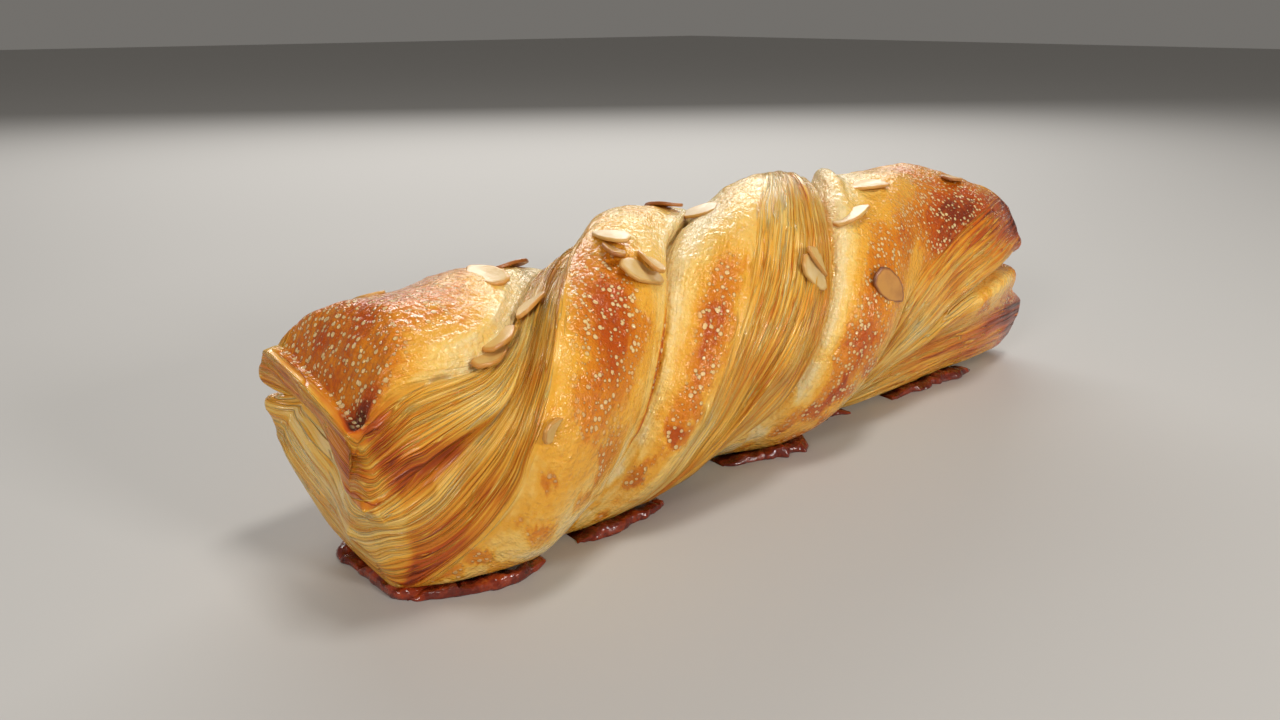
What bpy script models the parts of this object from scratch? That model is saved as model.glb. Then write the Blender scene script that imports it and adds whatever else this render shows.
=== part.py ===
"""Almond puff pastry twist, +Z up, in metres, lying on z = 0 with its length along X.

The real thing is two sheets of puff pastry laid one on the other, cut to a strip, twisted once about its
length, glazed, strewn with flaked almonds and baked. The strip keeps four faces: the top sheet's glazed face,
the front cut edge with its layers, the bottom sheet's glazed face, which baking creases down its middle, and
the back cut edge. The twist carries all four once round. At both ends the sheets gape a little, like a mouth.

The body is a stack of closed section curves. Each curve is read from folds whose turn about the length is
given at evenly spaced stations, and from a profile that says how far out each part of a face lies.
"""

import math

import bmesh
import bpy
import numpy as np

MM = 0.001

# Driving dimensions, in millimetres and degrees.
LEFT_END = -93.0
RIGHT_END = 83.0
FIRST_STATION = -90.0
STATION_PITCH = 20.0

# The turn of each fold at the stations, left to right: 0 faces the front (-Y), 90 faces up.
FOLD_TURN = {
    "top_front": (40, 54, 100, 150, 213, 283, 360, 388, 406, 418),
    "under_front": (-55, 26, 75, 117, 184, 247, 294, 306, 309, 312),
    "under_crease": (-100, -58, -8, 68, 108, 162, 225, 261, 277, 285),
    "under_back": (-155, -112, -56, 11, 62, 95, 136, 178, 210, 228),
    "top_back": (-225, -200, -138, -66, -22, 52, 100, 145, 164, 170),
}
# The section's half width and half height, and its centre, at the stations.
HALF_WIDTH = (21.0, 26.0, 25.5, 24.5, 26.0, 27.0, 27.0, 24.5, 24.5, 20.0)
HALF_HEIGHT = (23.5, 25.0, 25.5, 27.5, 28.5, 29.5, 28.0, 27.5, 26.5, 25.0)
CENTRE_Y = (3.0, 1.0, 1.0, -1.0, -1.0, -0.5, 0.5, 0.0, -2.0, -2.0)
CENTRE_Z = (24.0, 22.0, 24.0, 27.0, 28.5, 28.0, 28.0, 27.0, 26.5, 22.5)
# 2 is an ellipse, more is squarer: the ends still show the strip's flat faces.
TOP_SQUARENESS = (2.8, 2.6, 2.2, 2.0, 2.0, 2.0, 2.0, 2.2, 2.5, 2.9)
UNDER_SQUARENESS = (2.4, 2.2, 2.0, 2.0, 2.0, 2.0, 2.0, 2.0, 2.0, 2.0)

# How far each crease is open at the stations, from 0 for none to 1 for full depth.
CREASE_OPEN = {
    "front": (0.05, 0.85, 1.0, 1.0, 1.0, 1.0, 0.6, 0.1, 0.0, 0.0),
    "under": (0.1, 0.5, 1.0, 1.0, 1.0, 1.0, 1.0, 0.7, 0.4, 0.2),
    "back": (0.0, 0.4, 1.0, 1.0, 1.0, 1.0, 1.0, 0.8, 0.2, 0.0),
    "always": (1.0, 1.0, 1.0, 1.0, 1.0, 1.0, 1.0, 1.0, 1.0, 1.0),
}
# A small extra lobe of the top sheet beside the back crease.
SIDE_LOBE = (0.0, 0.0, 0.0, 0.0, 0.0, 0.0, 1.0, 0.5, 0.0, 0.0)
# The gape between the sheets: its depth as a share of the radius, and its place across the front cut edge.
FRONT_MOUTH_DEPTH = (0.14, 0.08, 0.07, 0.07, 0.05, 0.04, 0.04, 0.14, 0.30, 0.54)
BACK_MOUTH_DEPTH = (0.14, 0.07, 0.0, 0.0, 0.0, 0.0, 0.0, 0.08, 0.32, 0.50)
FRONT_MOUTH_PLACE = (0.31, 0.44, 0.50, 0.50, 0.50, 0.60, 0.58, 0.47, 0.38, 0.34)

# The profile round the section, from the front mouth under the pastry, up the back and over the top.
# Each row is a face, the place across it, the radius share there, the crease it belongs to, and lobe gain.
PROFILE_UNDER = (
    ("front_cut", 0.57, 0.88, "front", 0.0),
    ("front_cut", 0.75, 0.90, "always", 0.0),
    ("front_cut", 0.90, 1.01, "always", 0.0),
    ("under_near", 0.00, 1.07, "always", 0.0),
    ("under_near", 0.35, 1.07, "always", 0.0),
    ("under_near", 0.70, 1.00, "under", 0.0),
    ("under_near", 0.90, 0.93, "under", 0.0),
    ("under_near", 1.03, 0.88, "under", 0.0),
    ("under_near", 1.00, 0.74, "under", 0.0),
    ("under_far", 0.05, 0.79, "under", 0.0),
    ("under_far", 0.17, 0.85, "under", 0.0),
    ("under_far", 0.40, 0.91, "under", 0.0),
    ("under_far", 0.70, 1.00, "always", 0.0),
    ("back_cut", 0.00, 1.04, "always", 0.0),
    ("back_cut", 0.25, 1.04, "always", 0.0),
    ("back_cut", 0.43, 1.04, "always", 0.0),
)
PROFILE_OVER = (
    ("back_cut", 0.57, 1.04, "always", 0.0),
    ("back_cut", 0.75, 0.99, "back", 0.0),
    ("back_cut", 0.93, 0.975, "back", 0.0),
    ("back_cut", 1.04, 0.88, "back", 0.0),
    ("back_cut", 1.00, 0.75, "back", 0.0),
    ("top", 0.04, 0.81, "back", 0.10),
    ("top", 0.12, 0.92, "back", 0.13),
    ("top", 0.24, 0.97, "back", 0.02),
    ("top", 0.40, 1.025, "always", -0.02),
    ("top", 0.60, 1.055, "always", 0.0),
    ("top", 0.78, 1.00, "front", 0.0),
    ("top", 0.90, 0.93, "front", 0.0),
    ("top", 0.97, 0.85, "front", 0.0),
    ("top", 1.00, 0.77, "front", 0.0),
    ("front_cut", -0.02, 0.82, "front", 0.0),
    ("front_cut", 0.06, 0.855, "front", 0.0),
    ("front_cut", 0.30, 0.895, "front", 0.0),
    ("front_cut", 0.44, 0.91, "front", 0.0),
)
# A lip hangs over its crease where the crease is open, and draws back by this share where it is shut.
LIP_SETTLING = 1.6
# How sharply the curve keeps to its profile points: 0 rounds them off, 1 passes through them.
CRISPNESS = 0.75
# Where the underside meets the baking tray it is flat, and rounds into the sides over this height.
TRAY_ROUNDING = 2.0

# At the left end the lower sheet lies back below the joint of the sheets, and its front corner is rounded.
LEFT_LIE_BACK = 5.5
LEFT_JOINT_HEIGHT = 28.0
LEFT_CORNER_ROUNDING = 6.0
LEFT_CORNER_TOP = 30.0
LEFT_CORNER_FADE = 10.0
LEFT_ZONE_END = -65.0
LEFT_ZONE_LENGTH = 25.0
# There the glazed top rounds down to the end's upper edge, which is lower at the front than at the back.
SHOULDER_START = -75.0
SHOULDER_LENGTH = 18.0
SHOULDER_TOP = 50.0
SHOULDER_EDGE = 36.7
SHOULDER_SLOPE = 0.18
SHOULDER_CURVE = 2.5
SHOULDER_SOFTNESS = 4.0
# The upper sheet's front side leans in there, by so much over this range of height.
LEAN_IN = 5.5
LEAN_START = 22.0
LEAN_RISE = 13.0
# At the right end the lower sheet is the longer one.
RIGHT_UNDERLAP = 11.5
RIGHT_JOINT_HEIGHT = 23.0
RIGHT_JOINT_FADE = 8.0
RIGHT_ZONE_START = 45.0
RIGHT_ZONE_LENGTH = 37.0

# Each end closes on the mouth line in steps. A row is a step: the share of the way to that line and the reach
# beyond the last section, for the lower jaw and then for the upper one, whose edge is crisper.
LEFT_CAP = (
    (0.04, 1.4, 0.01, 1.6),
    (0.13, 2.2, 0.05, 2.8),
    (0.34, 2.5, 0.28, 2.4),
    (0.63, 1.4, 0.62, 1.0),
    (0.86, -1.0, 0.87, -1.0),
    (0.965, -5.0, 0.965, -5.0),
)
RIGHT_CAP = (
    (0.025, 2.0, 0.02, 1.8),
    (0.09, 3.4, 0.07, 3.0),
    (0.30, 4.2, 0.28, 3.8),
    (0.60, 3.2, 0.60, 3.4),
    (0.85, -1.0, 0.86, 0.0),
    (0.965, -9.0, 0.965, -9.0),
)
# The jaws swell from the corners of the mouth over this distance.
MOUTH_CORNER = 7.0
# Rise counts for this much of a run across when a point of the end curve finds its place on the mouth line.
UPRIGHT_WEIGHT = 0.12

SECTIONS = 52
SECTION_POINTS = 72

# Flaked almonds: a slice of a nut, pointed at one end.
FLAKE_LENGTH = 10.5
FLAKE_WIDTH = 5.2
FLAKE_THICKNESS = 1.0
FLAKE_TAPER = 0.28
FLAKE_DROOP = 0.012
FLAKE_POINTS = 12
# Each lies at a place along the length and a turn about it. Then come its heading from the length, how much it
# leans and rolls, its size against the usual one, and how high its middle sits.
FLAKES = (
    (-60, 101, 91, 9, -8, 1.05, 0.4),
    (-50, 118, 211, -2, 5, 0.95, 0.5),
    (-59, 72, 216, 8, 26, 0.95, 0.4),
    (-69, 59, 27, -6, -55, 0.90, 0.5),
    (-72, 53, 18, -10, -50, 0.85, 0.5),
    (-40, 80, 87, -15, 2, 0.95, 0.4),
    (-40, 59, 341, -18, -5, 1.00, 0.4),
    (-37, 63, 66, -24, 18, 0.95, 0.5),
    (-15, 109, 86, 3, 9, 1.05, 0.5),
    (-11, 95, 91, 1, -9, 1.05, 0.4),
    (-4, 33, 314, -14, 3, 0.95, 0.4),
    (-2, 38, 153, 24, 10, 0.95, 0.5),
    (19, 56, 7, 10, -40, 1.05, 0.4),
    (35, 70, 162, -9, 12, 1.00, 0.4),
    (69, 71, 15, -9, -11, 0.95, 0.4),
    (19, 19, 320, -4, 15, 1.10, 0.4),
    (-69, 19, 356, -30, 25, 0.75, 0.4),
    (-42, 73, 58, -20, 15, 0.80, 0.3),
    (-34, 140, 60, 5, 0, 1.00, 0.4),
    (-8, 132, 20, 8, 0, 0.95, 0.4),
    (14, 146, 75, -6, 0, 1.05, 0.4),
    (46, 122, 30, 6, 0, 0.95, 0.4),
    (60, 148, 110, 0, 0, 0.90, 0.4),
    (-78, 122, 80, 5, 0, 1.00, 0.4),
)


def clear_scene():
    for old in list(bpy.data.objects):
        bpy.data.objects.remove(old, do_unlink=True)


def along(x, values):
    """A smooth curve along the length through one value at each station."""
    v = np.asarray(values, float)
    p = np.concatenate([[2 * v[0] - v[1]], v, [2 * v[-1] - v[-2]]])
    u = (np.asarray(x, float) - FIRST_STATION) / STATION_PITCH
    k = np.clip(np.floor(u).astype(int), 0, len(v) - 2)
    f = u - k
    a, b, c, d = p[k], p[k + 1], p[k + 2], p[k + 3]
    return b + 0.5 * f * (c - a + f * (2 * a - 5 * b + 4 * c - d + f * (3 * (b - c) + d - a)))


def ease(t):
    t = np.clip(t, 0.0, 1.0)
    return t * t * (3 - 2 * t)


def faces_at(x):
    """The turn at which each face of the strip starts and ends, for each x."""
    fold = {name: along(x, turns) for name, turns in FOLD_TURN.items()}
    return {
        "front_cut": (fold["top_front"], fold["under_front"]),
        "under_near": (fold["under_front"], fold["under_crease"]),
        "under_far": (fold["under_crease"], fold["under_back"]),
        "back_cut": (fold["under_back"], fold["top_back"]),
        "top": (fold["top_back"], fold["top_front"] - 360),
    }


def across(face, place, faces, mouth):
    """The turn at a place across a face. On the front cut edge, place 0.5 is where the mouth opens."""
    start, end = faces[face]
    if face == "front_cut":
        place = np.where(place < 0.5, 2 * place * mouth, 1 - 2 * (1 - place) * (1 - mouth))
    return start + (end - start) * place


def profile_at(x):
    """Turns and radius shares of the profile points, one row for each x, starting at the front mouth."""
    faces = faces_at(x)
    mouth = along(x, FRONT_MOUTH_PLACE)
    opening = {name: np.clip(along(x, v), 0, 1) for name, v in CREASE_OPEN.items()}
    lobe = np.clip(along(x, SIDE_LOBE), 0, 1)
    turns = [across("front_cut", 0.5, faces, mouth)]
    shares = [1 - along(x, FRONT_MOUTH_DEPTH)]
    for rows in (PROFILE_UNDER, PROFILE_OVER):
        if rows is PROFILE_OVER:
            turns.append(across("back_cut", 0.5, faces, mouth))
            shares.append(1 - along(x, BACK_MOUTH_DEPTH))
        for face, place, share, crease, gain in rows:
            overhang = max(place - 1, 0) + min(place, 0)
            place = place - overhang * LIP_SETTLING * (1 - opening[crease])
            turn = across(face, place, faces, mouth)
            past_front = face == "front_cut" and rows is PROFILE_OVER
            turns.append(turn - 360 * past_front)
            shares.append(1 + (share + gain * lobe - 1) * opening[crease])
    return np.array(turns).T, np.array(shares).T


def spread(columns, points):
    """Reads each closed row of profile values at evenly spread points, half under and half over."""
    under, over = len(PROFILE_UNDER) + 1, len(PROFILE_OVER) + 1
    half = points // 2
    s = np.concatenate(
        [
            np.linspace(0, under, half, endpoint=False),
            under + np.linspace(0, over, points - half, endpoint=False),
        ]
    )
    k = np.floor(s + 1e-9).astype(int)
    f = s - k
    a, b, c, d = (columns[:, k + i] for i in range(4))
    through = 0.5 * (2 * b + f * (c - a + f * (2 * a - 5 * b + 4 * c - d + f * (3 * (b - c) + d - a))))
    rounded = (
        (1 - f) ** 3 * a
        + (3 * f**3 - 6 * f**2 + 4) * b
        + (-3 * f**3 + 3 * f**2 + 3 * f + 1) * c
        + f**3 * d
    ) / 6
    return CRISPNESS * through + (1 - CRISPNESS) * rounded


def lie_back(x, y, z):
    """How far along X a point of the ends is shifted."""
    low = np.clip(1 - z / LEFT_JOINT_HEIGHT, 0, 1)
    front = np.clip((-y - 6) / 20, 0, 1)
    corner = LEFT_CORNER_ROUNDING * front**1.5 * ease((LEFT_CORNER_TOP - z) / LEFT_CORNER_FADE)
    left = np.clip((LEFT_ZONE_END - x) / LEFT_ZONE_LENGTH, 0, 1)
    under = ease((RIGHT_JOINT_HEIGHT - z) / RIGHT_JOINT_FADE)
    right = ease((x - RIGHT_ZONE_START) / RIGHT_ZONE_LENGTH)
    return left * (LEFT_LIE_BACK * low**1.6 + corner) + right * RIGHT_UNDERLAP * under


def shoulder(x, y, z):
    """A point's place across and its height, once the left end's top is rounded down to its edge."""
    edge = SHOULDER_EDGE + SHOULDER_SLOPE * y
    fall = np.clip((SHOULDER_START - x) / SHOULDER_LENGTH, 0, 1) ** SHOULDER_CURVE
    limit = SHOULDER_TOP - (SHOULDER_TOP - edge) * fall
    lowered = 0.5 * (z + limit - np.sqrt((z - limit) ** 2 + (SHOULDER_SOFTNESS * fall) ** 2))
    front = np.clip(-y / HALF_WIDTH[0], 0, 1)
    return y + LEAN_IN * fall * front * ease((lowered - LEAN_START) / LEAN_RISE), lowered


def sections(x, points=SECTION_POINTS):
    """Section curves at each x, as an array of curves by points by XYZ, in millimetres."""
    x = np.asarray(x, float)
    turns, shares = profile_at(x)
    turns = np.concatenate([turns[:, -1:] + 360, turns, turns[:, :3] - 360], axis=1)
    shares = np.concatenate([shares[:, -1:], shares, shares[:, :3]], axis=1)
    turn = np.radians(spread(turns, points))
    share = spread(shares, points)
    over, under = along(x, TOP_SQUARENESS)[:, None], along(x, UNDER_SQUARENESS)[:, None]
    squareness = np.where(np.sin(turn) > 0, over, under)
    ring = (np.abs(np.cos(turn)) ** squareness + np.abs(np.sin(turn)) ** squareness) ** (-1 / squareness)
    y = along(x, CENTRE_Y)[:, None] - along(x, HALF_WIDTH)[:, None] * share * ring * np.cos(turn)
    z = along(x, CENTRE_Z)[:, None] + along(x, HALF_HEIGHT)[:, None] * share * ring * np.sin(turn)
    y, z = np.where(x[:, None] < SHOULDER_START, shoulder(x[:, None], y, z), (y, z))
    rounding = (z + TRAY_ROUNDING) ** 2 / (4 * TRAY_ROUNDING)
    z = np.where(z > TRAY_ROUNDING, z, np.where(z > -TRAY_ROUNDING, rounding, 0.0))
    return np.stack([x[:, None] + lie_back(x[:, None], y, z), y, z], axis=-1)


def mouth_line(curve):
    """For each point of an end curve, its place on the line between the front and the back mouth."""
    half = len(curve) // 2

    def share_of_way(points):
        step = np.abs(np.diff(points, axis=0))
        way = np.concatenate([[0], np.cumsum(step[:, 1] + UPRIGHT_WEIGHT * step[:, 2])])
        return (way / way[-1])[:, None]

    front, back = curve[0], curve[half]
    under = front + (back - front) * share_of_way(curve[: half + 1])
    over = back + (front - back) * share_of_way(np.concatenate([curve[half:], curve[:1]]))
    return np.concatenate([under, over[1:-1]])


def cap(curve, steps, outward):
    """The curves that close an end, from the last section in to the mouth line."""
    line = mouth_line(curve)
    jaw = ease(np.linalg.norm((line - curve)[:, 1:], axis=1) / MOUTH_CORNER)
    lower = np.arange(len(curve)) < len(curve) // 2
    depth = steps[-1][1]
    rings = []
    for low_share, low_reach, high_share, high_reach in steps:
        share = np.where(lower, low_share, high_share)
        reach = np.where(lower, low_reach, high_reach)
        ring = curve + (line - curve) * share[:, None]
        ring[:, 0] = curve[:, 0] + (line[:, 0] - curve[:, 0]) * ease(share)
        ring[:, 0] += outward * (reach * jaw + depth * share * (1 - jaw))
        rings.append(ring)
    return rings


def body_rings():
    curves = sections(np.linspace(LEFT_END, RIGHT_END, SECTIONS))
    left = cap(curves[0], LEFT_CAP, -1)
    right = cap(curves[-1], RIGHT_CAP, 1)
    return left[::-1] + list(curves) + right


def close_slit(bm, ring, flip):
    """Joins the two lips of a last ring, which nearly touch, with a strip of faces."""
    count = len(ring)
    for i in range(count // 2):
        corners = [ring[i], ring[i + 1], ring[count - i - 1], ring[(count - i) % count]]
        corners = list(dict.fromkeys(corners))
        bm.faces.new(corners[::-1] if flip else corners)


def build_body(material):
    bm = bmesh.new()
    rings = [[bm.verts.new([c * MM for c in point]) for point in ring] for ring in body_rings()]
    for near, far in zip(rings, rings[1:]):
        for i in range(SECTION_POINTS):
            j = (i + 1) % SECTION_POINTS
            bm.faces.new((near[i], far[i], far[j], near[j]))
    close_slit(bm, rings[0], flip=True)
    close_slit(bm, rings[-1], flip=False)
    return add_object("pastry_twist", bm, material)


def add_object(name, bm, material):
    bmesh.ops.recalc_face_normals(bm, faces=bm.faces)
    bmesh.ops.triangulate(bm, faces=bm.faces)
    mesh = bpy.data.meshes.new(name)
    bm.to_mesh(mesh)
    bm.free()
    mesh.shade_smooth()
    mesh.materials.append(material)
    obj = bpy.data.objects.new(name, mesh)
    bpy.context.scene.collection.objects.link(obj)
    return obj


def seat(x, turn):
    """The surface point at a place along the length and a turn about it, with its outward direction."""
    curves = sections([x - 4, x, x + 4], 360)
    centre = np.array([x, along(x, CENTRE_Y), along(x, CENTRE_Z)])
    offset = curves[1] - centre
    angle = np.degrees(np.arctan2(offset[:, 2], -offset[:, 1]))
    i = int(np.abs((angle - turn + 180) % 360 - 180).argmin())
    lengthwise = curves[2, i] - curves[0, i]
    around = curves[1, (i + 9) % 360] - curves[1, i - 9]
    out = np.cross(around, lengthwise)
    radial = offset[i] / np.linalg.norm(offset[i])
    out = out / np.linalg.norm(out) + radial
    return curves[1, i], out / np.linalg.norm(out)


def flake_outline(size):
    """A flake seen flat: round at one end, pointed at the other."""
    points = []
    for i in range(FLAKE_POINTS):
        t = 2 * math.pi * i / FLAKE_POINTS
        taper = 1 - FLAKE_TAPER * math.cos(t)
        x = 0.5 * FLAKE_LENGTH * size * math.cos(t)
        y = 0.5 * FLAKE_WIDTH * size * math.sin(t) * taper
        points.append((x, y))
    return points


def build_flake(index, spot, material):
    x, turn, heading, lean, roll, size, lift = spot
    centre, out = seat(x, turn)
    length = np.array([1.0, 0.0, 0.0]) - out * out[0]
    length /= np.linalg.norm(length)
    side = np.cross(out, length)
    h, tilt, bank = math.radians(heading), math.radians(lean), math.radians(roll)
    ahead = length * math.cos(h) + side * math.sin(h)
    ahead = ahead * math.cos(tilt) + out * math.sin(tilt)
    level_side = np.cross(out, ahead)
    level_side /= np.linalg.norm(level_side)
    level_up = np.cross(ahead, level_side)
    sideways = level_side * math.cos(bank) + level_up * math.sin(bank)
    up = np.cross(ahead, sideways)
    bm = bmesh.new()
    layers = []
    for level in (-0.5, 0.5):
        layer = []
        for along_flake, across_flake in flake_outline(size):
            bend = -FLAKE_DROOP * along_flake**2
            place = centre + out * lift + ahead * along_flake + sideways * across_flake
            place = place + up * (level * FLAKE_THICKNESS + bend)
            layer.append(bm.verts.new([c * MM for c in place]))
        layers.append(layer)
    bm.faces.new(layers[0][::-1])
    bm.faces.new(layers[1])
    for i in range(FLAKE_POINTS):
        j = (i + 1) % FLAKE_POINTS
        bm.faces.new((layers[0][i], layers[0][j], layers[1][j], layers[1][i]))
    return add_object(f"flake_{index}", bm, material)


def fuse(body, toppings):
    """One union of the body with its toppings, after which the toppings' own objects go."""
    heap = bpy.data.collections.new("toppings")
    bpy.context.scene.collection.children.link(heap)
    for topping in toppings:
        bpy.context.scene.collection.objects.unlink(topping)
        heap.objects.link(topping)
    union = body.modifiers.new("fuse", "BOOLEAN")
    union.operation = "UNION"
    union.operand_type = "COLLECTION"
    union.collection = heap
    union.solver = "MANIFOLD"
    fused = bpy.data.meshes.new_from_object(body.evaluated_get(bpy.context.evaluated_depsgraph_get()))
    body.modifiers.clear()
    body.data = fused
    for topping in toppings:
        bpy.data.objects.remove(topping, do_unlink=True)
    bpy.data.collections.remove(heap)


def rest_centred(obj):
    """Moves the part so that it stands on z = 0 with its box centred on the origin."""
    corners = np.array([corner[:] for corner in obj.bound_box])
    low, high = corners.min(axis=0), corners.max(axis=0)
    middle = (low + high) / 2
    middle[2] = low[2]
    for vertex in obj.data.vertices:
        vertex.co = [c - m for c, m in zip(vertex.co, middle)]


def matte(name, colour, roughness):
    material = bpy.data.materials.new(name)
    material.use_nodes = True
    shader = material.node_tree.nodes["Principled BSDF"]
    shader.inputs["Base Color"].default_value = (*colour, 1.0)
    shader.inputs["Roughness"].default_value = roughness
    shader.inputs["Metallic"].default_value = 0.0
    return material


def main():
    clear_scene()
    crust = matte("crust", (0.68, 0.33, 0.07), 0.35)
    almond = matte("almond", (0.78, 0.58, 0.32), 0.5)
    body = build_body(crust)
    flakes = [build_flake(i, spot, almond) for i, spot in enumerate(FLAKES)]
    fuse(body, flakes)
    rest_centred(body)


main()
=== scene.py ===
import math

import bpy
import numpy as np
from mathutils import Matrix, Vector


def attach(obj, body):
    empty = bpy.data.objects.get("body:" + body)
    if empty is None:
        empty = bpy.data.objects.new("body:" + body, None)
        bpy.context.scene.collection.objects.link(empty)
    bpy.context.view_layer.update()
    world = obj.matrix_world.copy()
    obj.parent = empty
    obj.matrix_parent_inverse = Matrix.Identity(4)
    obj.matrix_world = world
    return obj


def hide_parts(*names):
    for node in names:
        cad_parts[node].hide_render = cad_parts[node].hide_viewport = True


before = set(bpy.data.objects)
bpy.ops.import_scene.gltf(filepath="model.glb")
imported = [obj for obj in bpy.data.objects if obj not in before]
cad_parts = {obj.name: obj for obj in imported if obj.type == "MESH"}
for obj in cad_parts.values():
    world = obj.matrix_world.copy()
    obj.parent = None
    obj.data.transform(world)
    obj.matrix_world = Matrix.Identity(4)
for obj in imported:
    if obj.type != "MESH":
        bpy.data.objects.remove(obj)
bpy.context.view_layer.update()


# ---- The twist -----------------------------------------------------------------------------------------
# Two sheets of puff pastry, laid one on the other, cut to a strip, turned once about its length, brushed
# with egg and baked on a tray. The strip's faces run round the body as four bands: two of them are glazed,
# and two are cut edges that show the layers.
MM = 0.001
# The section curves are made in millimetres in a place of their own, and this sets them down in the frame.
TWIST_PLACE = (-0.955, 0.602, 0.0)
LEFT_END = -93.0
RIGHT_END = 83.0
FIRST_STATION = -90.0
STATION_PITCH = 20.0

# The turn of each fold at the stations, left to right: 0 faces the front (-Y), 90 faces up.
FOLD_TURN = {
    "top_front": (40, 54, 100, 150, 213, 283, 360, 388, 406, 418),
    "under_front": (-55, 26, 75, 117, 184, 247, 294, 306, 309, 312),
    "under_crease": (-100, -58, -8, 68, 108, 162, 225, 261, 277, 285),
    "under_back": (-155, -112, -56, 11, 62, 95, 136, 178, 210, 228),
    "top_back": (-225, -200, -138, -66, -22, 52, 100, 145, 164, 170),
}
# The section at the stations: its half width and height, its middle, and how square it is over and under.
HALF_WIDTH = (21.0, 26.0, 25.5, 24.5, 26.0, 27.0, 27.0, 24.5, 24.5, 20.0)
HALF_HEIGHT = (23.5, 25.0, 25.5, 27.5, 28.5, 29.5, 28.0, 27.5, 26.5, 25.0)
CENTRE_Y = (3.0, 1.0, 1.0, -1.0, -1.0, -0.5, 0.5, 0.0, -2.0, -2.0)
CENTRE_Z = (24.0, 22.0, 24.0, 27.0, 28.5, 28.0, 28.0, 27.0, 26.5, 22.5)
TOP_SQUARENESS = (2.8, 2.6, 2.2, 2.0, 2.0, 2.0, 2.0, 2.2, 2.5, 2.9)
UNDER_SQUARENESS = (2.4, 2.2, 2.0, 2.0, 2.0, 2.0, 2.0, 2.0, 2.0, 2.0)
# How far each crease is open at the stations, how much one side lobe stands out, and the mouths.
CREASE_OPEN = {
    "front": (0.05, 0.85, 1.0, 1.0, 1.0, 1.0, 0.6, 0.1, 0.0, 0.0),
    "under": (0.1, 0.5, 1.0, 1.0, 1.0, 1.0, 1.0, 0.7, 0.4, 0.2),
    "back": (0.0, 0.4, 1.0, 1.0, 1.0, 1.0, 1.0, 0.8, 0.2, 0.0),
    "always": (1.0, 1.0, 1.0, 1.0, 1.0, 1.0, 1.0, 1.0, 1.0, 1.0),
}
SIDE_LOBE = (0.0, 0.0, 0.0, 0.0, 0.0, 0.0, 1.0, 0.5, 0.0, 0.0)
FRONT_MOUTH_DEPTH = (0.14, 0.08, 0.07, 0.07, 0.05, 0.04, 0.04, 0.14, 0.30, 0.54)
BACK_MOUTH_DEPTH = (0.14, 0.07, 0.0, 0.0, 0.0, 0.0, 0.0, 0.08, 0.32, 0.50)
FRONT_MOUTH_PLACE = (0.31, 0.44, 0.50, 0.50, 0.50, 0.60, 0.58, 0.47, 0.38, 0.34)

# The profile round the section: face, place across it, radius share, its crease, and side lobe gain. Then
# how much the place is a cut edge, how deep in its sheet it lies, and how pale its crease keeps it.
PROFILE_UNDER = (
    ("front_cut", 0.57, 0.88, "front", 0.0, 1.0, 0.86, 0.0),
    ("front_cut", 0.75, 0.90, "always", 0.0, 1.0, 0.50, 0.0),
    ("front_cut", 0.90, 1.01, "always", 0.0, 1.0, 0.20, 0.0),
    ("under_near", 0.00, 1.07, "always", 0.0, 0.5, 0.0, 0.0),
    ("under_near", 0.35, 1.07, "always", 0.0, 0.0, 0.0, 0.0),
    ("under_near", 0.70, 1.00, "under", 0.0, 0.0, 0.0, 0.15),
    ("under_near", 0.90, 0.93, "under", 0.0, 0.0, 0.0, 0.5),
    ("under_near", 1.03, 0.88, "under", 0.0, 0.0, 0.0, 0.8),
    ("under_near", 1.00, 0.74, "under", 0.0, 0.0, 0.0, 1.0),
    ("under_far", 0.05, 0.79, "under", 0.0, 0.0, 0.0, 1.0),
    ("under_far", 0.17, 0.85, "under", 0.0, 0.0, 0.0, 1.0),
    ("under_far", 0.40, 0.91, "under", 0.0, 0.0, 0.0, 0.6),
    ("under_far", 0.70, 1.00, "always", 0.0, 0.0, 0.0, 0.1),
    ("back_cut", 0.00, 1.04, "always", 0.0, 0.5, 0.0, 0.0),
    ("back_cut", 0.25, 1.04, "always", 0.0, 1.0, 0.50, 0.0),
    ("back_cut", 0.43, 1.04, "always", 0.0, 1.0, 0.86, 0.0),
)
PROFILE_OVER = (
    ("back_cut", 0.57, 1.04, "always", 0.0, 1.0, 0.86, 0.0),
    ("back_cut", 0.75, 0.99, "back", 0.0, 1.0, 0.50, 0.0),
    ("back_cut", 0.93, 0.975, "back", 0.0, 1.0, 0.14, 0.2),
    ("back_cut", 1.04, 0.88, "back", 0.0, 0.8, 0.0, 0.6),
    ("back_cut", 1.00, 0.75, "back", 0.0, 0.4, 0.0, 1.0),
    ("top", 0.04, 0.81, "back", 0.10, 0.0, 0.0, 1.0),
    ("top", 0.12, 0.92, "back", 0.13, 0.0, 0.0, 0.9),
    ("top", 0.24, 0.97, "back", 0.02, 0.0, 0.0, 0.7),
    ("top", 0.40, 1.025, "always", -0.02, 0.0, 0.0, 0.1),
    ("top", 0.60, 1.055, "always", 0.0, 0.0, 0.0, 0.1),
    ("top", 0.78, 1.00, "front", 0.0, 0.0, 0.0, 0.7),
    ("top", 0.90, 0.93, "front", 0.0, 0.0, 0.0, 1.0),
    ("top", 0.97, 0.85, "front", 0.0, 0.0, 0.0, 1.0),
    ("top", 1.00, 0.77, "front", 0.0, 0.4, 0.0, 1.0),
    ("front_cut", -0.02, 0.82, "front", 0.0, 0.8, 0.0, 0.5),
    ("front_cut", 0.06, 0.855, "front", 0.0, 1.0, 0.12, 0.2),
    ("front_cut", 0.30, 0.895, "front", 0.0, 1.0, 0.60, 0.0),
    ("front_cut", 0.44, 0.91, "front", 0.0, 1.0, 0.88, 0.0),
)
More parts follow.
